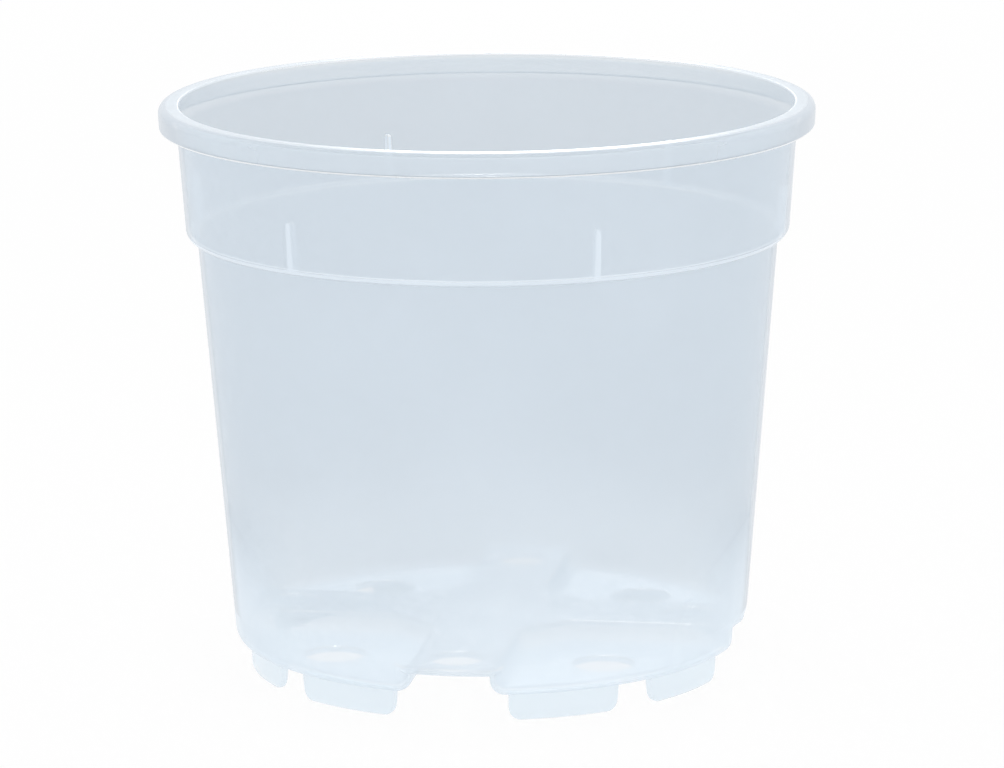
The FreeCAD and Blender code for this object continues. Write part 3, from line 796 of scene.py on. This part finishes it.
def mixed_colour(tree, value, first, second, x, y):
    """A colour that runs from one to another as a value runs from 0 to 1."""
    mix = add_node(tree, "ShaderNodeMix", x, y, data_type="RGBA")
    for socket, source in (("A", first), ("B", second)):
        if isinstance(source, bpy.types.NodeSocket):
            tree.links.new(source, mix.inputs[socket])
        else:
            mix.inputs[socket].default_value = (*source, 1.0)
    tree.links.new(value, mix.inputs["Factor"])
    return mix.outputs["Result"]


def seen_directly(tree, x, y):
    """One for rays from the camera, from gloss and through glass, and nothing for the rest."""
    path = add_node(tree, "ShaderNodeLightPath", x, y)
    seen = path.outputs["Is Camera Ray"]
    for step, name in enumerate(("Is Glossy Ray", "Is Transmission Ray"), start=1):
        seen = combined(tree, "MAXIMUM", seen, path.outputs[name], x + 200 * step, y)
    return seen


def clouded(tone, change):
    return tuple(min(value * (1 + change), 1.0) for value in tone)


def plastic_tint(tree, place, edge_on, tone, band_shade_tone, meets_base):
    """A zone's colour: its faint clouds, the lighter painted shade in the band behind the skirt, the foot of
    the wall, and the outline.
    """
    f = finish()
    clouds = noise_at(tree, place, *CLOUDS, -1000, 300)
    tint = mixed_colour(tree, clouds, clouded(tone, -f.clouding), clouded(tone, f.clouding), -700, 300)
    # Painted shade: behind the skirt the inside's painted shade turns lighter
    if band_shade_tone is not None:
        skirt_foot = sizes().skirt_level
        above = height_mask(tree, place, skirt_foot - f.band_blur, skirt_foot + f.band_blur, -1200, 900)
        tint = mixed_colour(tree, above, tint, band_shade_tone, -550, 300)
    if meets_base:
        above = height_mask(tree, place, f.low_wall_from, f.low_tone_to, -1200, 600)
        tint = mixed_colour(tree, above, f.base_colour, tint, -400, 300)
    if edge_on is not None:
        tint = mixed_colour(tree, edge_on, tint, f.outline_colour, -300, 500)
    return tint


def plastic_cover(tree, place, facing, edge_on, cover, slant, meets_base):
    """What a face of a zone hides: more where it is seen edge-on, and little of passing light."""
    f = finish()
    if facing is not None:
        thick = between(tree, facing, 0.0, slant, -900, -1200)
        if meets_base:
            above = height_mask(tree, place, f.low_wall_from, f.low_cover_to, -1200, -650)
            cover = between(tree, above, f.base_cover, cover, -700, -650)
            below = between(tree, above, 1.0, 0.0, -900, -1500)
            thick = combined(tree, "MULTIPLY", thick, below, -700, -1400)
        if edge_on is not None:
            thick = combined(tree, "MAXIMUM", thick, edge_on, -550, -1700)
        cover = combined(tree, "MAXIMUM", cover, thick, -550, -1000)
    passing = between(tree, seen_directly(tree, -1400, -900), f.light_share, 1.0, -700, -900)
    return combined(tree, "MULTIPLY", cover, passing, -400, -700)


def make_plastic(name, tone, cover, gloss, slant=0.0, mirror=0.0, roughness=None, meets_base=False,
                 band_shade_tone=None, outline=None):
    """Clear polypropylene: faint clouds, a little ripple, and light that passes more freely than sight."""
    f = finish()
    material, tree = empty_material(name)
    link = tree.links.new
    place = add_node(tree, "ShaderNodeTexCoord", -1400, 0)
    facing = add_node(tree, "ShaderNodeLayerWeight", -1400, -1200).outputs["Facing"] if slant else None
    edge_on = between(tree, facing, 0.0, 1.0, -900, -1700, outline) if outline else None
    haze = noise_at(tree, place, *HAZE, -1000, -100)
    mean = roughness or f.gloss_roughness
    spread = mean * f.roughness_spread
    bump = add_node(tree, "ShaderNodeBump", -700, -400)
    bump.inputs["Strength"].default_value = f.ripple_strength
    bump.inputs["Distance"].default_value = f.ripple_height
    link(noise_at(tree, place, *RIPPLES, -1000, -400), bump.inputs["Height"])
    shader = add_node(tree, "ShaderNodeBsdfPrincipled", -150, 0)
    shader.inputs["IOR"].default_value = f.refraction
    shader.inputs["Specular IOR Level"].default_value = gloss
    shader.inputs["Metallic"].default_value = mirror
    link(plastic_tint(tree, place, edge_on, tone, band_shade_tone, meets_base), shader.inputs["Base Color"])
    link(between(tree, haze, mean - spread, mean + spread, -700, -100), shader.inputs["Roughness"])
    link(bump.outputs["Normal"], shader.inputs["Normal"])
    link(plastic_cover(tree, place, facing, edge_on, cover, slant, meets_base), shader.inputs["Alpha"])
    output = add_node(tree, "ShaderNodeOutputMaterial", 200, 0)
    link(shader.outputs["BSDF"], output.inputs["Surface"])
    return material


def zone_material(zone):
    """The plastic of one zone, made once."""
    f = finish()
    wall = {"cover": f.wall_cover, "gloss": f.wall_gloss, "slant": f.slant_cover, "meets_base": True}
    base = {"cover": f.base_cover, "gloss": f.wall_gloss, "slant": f.slant_cover}
    edge = {"cover": f.edge_cover, "gloss": f.gloss}
    recipes = {
        OUTSIDE: {"tone": f.outside_colour, "outline": (f.outline_from, f.outline_to), **wall},
        # Painted shade: the inside is darker than the outside
        INSIDE: {"tone": f.inside_shade_colour, "band_shade_tone": f.band_shade_colour, **wall},
        BASE: {"tone": f.base_colour, **base},
        # Painted shade: the cross is darker than the base
        CROSS: {"tone": f.cross_shade_colour, **base},
        FEET: {"tone": f.foot_colour, "cover": f.foot_cover, "gloss": f.gloss},
        LIP: {"tone": f.rim_colour, "cover": f.rim_cover, "gloss": f.lip_gloss, "slant": f.slant_cover},
        RIM: {"tone": f.rim_colour, "cover": f.rim_cover, "gloss": f.wall_gloss, "slant": f.slant_cover,
              "outline": (f.rim_outline_from, f.rim_outline_to)},
        RIM_INSIDE: {"tone": f.rim_colour, "cover": f.rim_inside_cover, "gloss": f.wall_gloss},
        # Painted highlight on the roundings, with a real share of mirroring
        PAINTED_HIGHLIGHT: {"tone": f.painted_highlight_colour, "mirror": f.edge_mirror, "roughness": f.edge_roughness, **edge},
        # Painted highlight round the shoulder, and the ribs' lighter tone
        PAINTED_GLINT_AND_RIBS: {"tone": f.painted_glint_and_rib_colour, **edge},
        SHADED: {"tone": f.shade_colour, **edge},
    }
    return bpy.data.materials.get(ZONES[zone]) or make_plastic(ZONES[zone], **recipes[zone])


def make_floor_material():
    """White paper that keeps a faint share of the pot's shadow."""
    g = stage()
    material, tree = empty_material("white_floor")
    plain = combined(tree, "MULTIPLY", seen_directly(tree, -900, 300), g.floor_white, -300, 300)
    paper = add_node(tree, "ShaderNodeBsdfDiffuse", -300, 0)
    paper.inputs["Color"].default_value = (*[g.paper_white] * 3, 1.0)
    white = add_node(tree, "ShaderNodeEmission", -300, -200)
    mix = add_node(tree, "ShaderNodeMixShader", 0, 0)
    output = add_node(tree, "ShaderNodeOutputMaterial", 200, 0)
    tree.links.new(plain, mix.inputs["Fac"])
    tree.links.new(paper.outputs["BSDF"], mix.inputs[1])
    tree.links.new(white.outputs["Emission"], mix.inputs[2])
    tree.links.new(mix.outputs["Shader"], output.inputs["Surface"])
    return material


class ORCHIDPOT_OT_moulding(bpy.types.Operator):
    """Build the pot's wall, rim, ledge and drained base as one shell"""

    bl_idname = "orchid_pot.moulding"
    bl_label = "Moulding"

    def execute(self, context):
        materials = [zone_material(zone) for zone in range(FEET)]
        new_piece("pot_moulding", build_moulding(sizes()), MOULDING_NODES, materials)
        return {"FINISHED"}


class ORCHIDPOT_OT_ribs(bpy.types.Operator):
    """Build the stacking ribs on the ledge"""

    bl_idname = "orchid_pot.ribs"
    bl_label = "Stacking Ribs"

    def execute(self, context):
        materials = [zone_material(zone) for zone in RIB_ZONES]
        rib = build_rib(sizes())
        for k in range(RIB_COUNT):
            bm = bmesh.new()
            copy_into(bm, rib, k * FULL_TURN / RIB_COUNT)
            new_piece(f"rib_{k + 1}", bm, [f"stacking_rib_{k + 1}"], materials)
        rib.free()
        return {"FINISHED"}


class ORCHIDPOT_OT_feet(bpy.types.Operator):
    """Build the curved feet under the pods"""

    bl_idname = "orchid_pot.feet"
    bl_label = "Feet"

    def execute(self, context):
        s = sizes()
        foot = build_foot(s)
        for k in range(POD_COUNT):
            middle = (k + 0.5) * FULL_TURN / POD_COUNT
            for side, word in ((-1, "a"), (1, "b")):
                bm = bmesh.new()
                copy_into(bm, foot, middle + side * s.foot_offset)
                new_piece(f"pot_foot_{k + 1}{word}", bm, [f"foot_{k + 1}{word}"], [zone_material(FEET)])
        foot.free()
        return {"FINISHED"}


class ORCHIDPOT_OT_stage(bpy.types.Operator):
    """Set the floor, the even light, the lamps and the camera"""

    bl_idname = "orchid_pot.stage"
    bl_label = "Stage"

    def execute(self, context):
        make_floor()
        make_sky()
        for softbox in SOFTBOXES:
            make_lamp(*softbox)
        make_camera()
        bpy.context.scene.view_settings.view_transform = "Standard"
        return {"FINISHED"}


def make_floor():
    g = stage()
    bm = bmesh.new()
    bmesh.ops.create_circle(bm, cap_ends=True, segments=g.floor_steps, radius=g.floor_radius)
    mesh = bpy.data.meshes.new("floor")
    bm.to_mesh(mesh)
    bm.free()
    mesh.materials.append(make_floor_material())
    floor = bpy.data.objects.new("floor", mesh)
    bpy.context.scene.collection.objects.link(floor)


def make_sky():
    world = bpy.data.worlds.new("even_light")
    world.use_nodes = True
    tree = world.node_tree
    background = tree.nodes["Background"]
    background.inputs["Color"].default_value = (1.0, 1.0, 1.0, 1.0)
    strength = between(tree, seen_directly(tree, -900, 0), stage().sky, 1.0, -300, 0)
    tree.links.new(strength, background.inputs["Strength"])
    bpy.context.scene.world = world


def make_lamp(name, place, extent, power):
    """A softbox of some width and height, aimed at the pot."""
    light = bpy.data.lights.new(name, "AREA")
    light.shape = "RECTANGLE"
    light.size, light.size_y = extent
    light.energy = power
    lamp = bpy.data.objects.new(name, light)
    lamp.location = place
    middle = Vector((0, 0, sizes().height / 2))
    lamp.rotation_mode = "QUATERNION"
    lamp.rotation_quaternion = (middle - Vector(place)).to_track_quat("-Z", "Y")
    lamp.visible_camera = False
    bpy.context.scene.collection.objects.link(lamp)


def make_camera():
    """A long lens at the photograph's angle."""
    g = stage()
    turn, rise = g.camera_azimuth, g.camera_elevation
    back = Vector((math.sin(turn) * math.cos(rise), -math.cos(turn) * math.cos(rise), math.sin(rise)))
    right = Vector((math.cos(turn), math.sin(turn), 0.0))
    up = back.cross(right)
    rolled_right = math.cos(g.camera_roll) * right + math.sin(g.camera_roll) * up
    rolled_up = math.cos(g.camera_roll) * up - math.sin(g.camera_roll) * right
    aim = g.aim_side * right + Vector((0.0, 0.0, g.aim_level))
    data = bpy.data.cameras.new("photo_camera")
    data.sensor_width = g.camera_sensor
    data.lens = g.camera_lens
    data.clip_start = g.camera_near
    camera = bpy.data.objects.new("photo_camera", data)
    facing = Matrix((rolled_right, rolled_up, back)).transposed()
    camera.matrix_world = Matrix.Translation(aim + back * g.camera_distance) @ facing.to_4x4()
    bpy.context.scene.collection.objects.link(camera)
    bpy.context.scene.camera = camera


class VIEW3D_PT_orchid_pot(bpy.types.Panel):
    """Sizes, finish and steps of the pot"""

    bl_label = "Orchid Pot"
    bl_space_type = "VIEW_3D"
    bl_region_type = "UI"
    bl_category = "Orchid Pot"

    def draw(self, context):
        layout = self.layout
        for group in (context.scene.orchid_pot_sizes, context.scene.orchid_pot_finish,
                      context.scene.orchid_pot_stage):
            box = layout.box()
            for name in group.__annotations__:
                box.prop(group, name)
        for step in STEPS:
            layout.operator(step.bl_idname)


STEPS = (ORCHIDPOT_OT_moulding, ORCHIDPOT_OT_ribs, ORCHIDPOT_OT_feet, ORCHIDPOT_OT_stage)
GROUPS = {
    "orchid_pot_sizes": OrchidPotSizes,
    "orchid_pot_finish": OrchidPotFinish,
    "orchid_pot_stage": OrchidPotStage,
}


def register():
    for cls in (*GROUPS.values(), *STEPS, VIEW3D_PT_orchid_pot):
        bpy.utils.register_class(cls)
    for name, cls in GROUPS.items():
        setattr(bpy.types.Scene, name, PointerProperty(type=cls))


def unregister():
    for name in GROUPS:
        delattr(bpy.types.Scene, name)
    for cls in (VIEW3D_PT_orchid_pot, *STEPS, *GROUPS.values()):
        bpy.utils.unregister_class(cls)


def main():
    register()
    bpy.ops.orchid_pot.moulding()
    bpy.ops.orchid_pot.ribs()
    bpy.ops.orchid_pot.feet()
    bpy.ops.orchid_pot.stage()


if __name__ == "__main__":
    main()
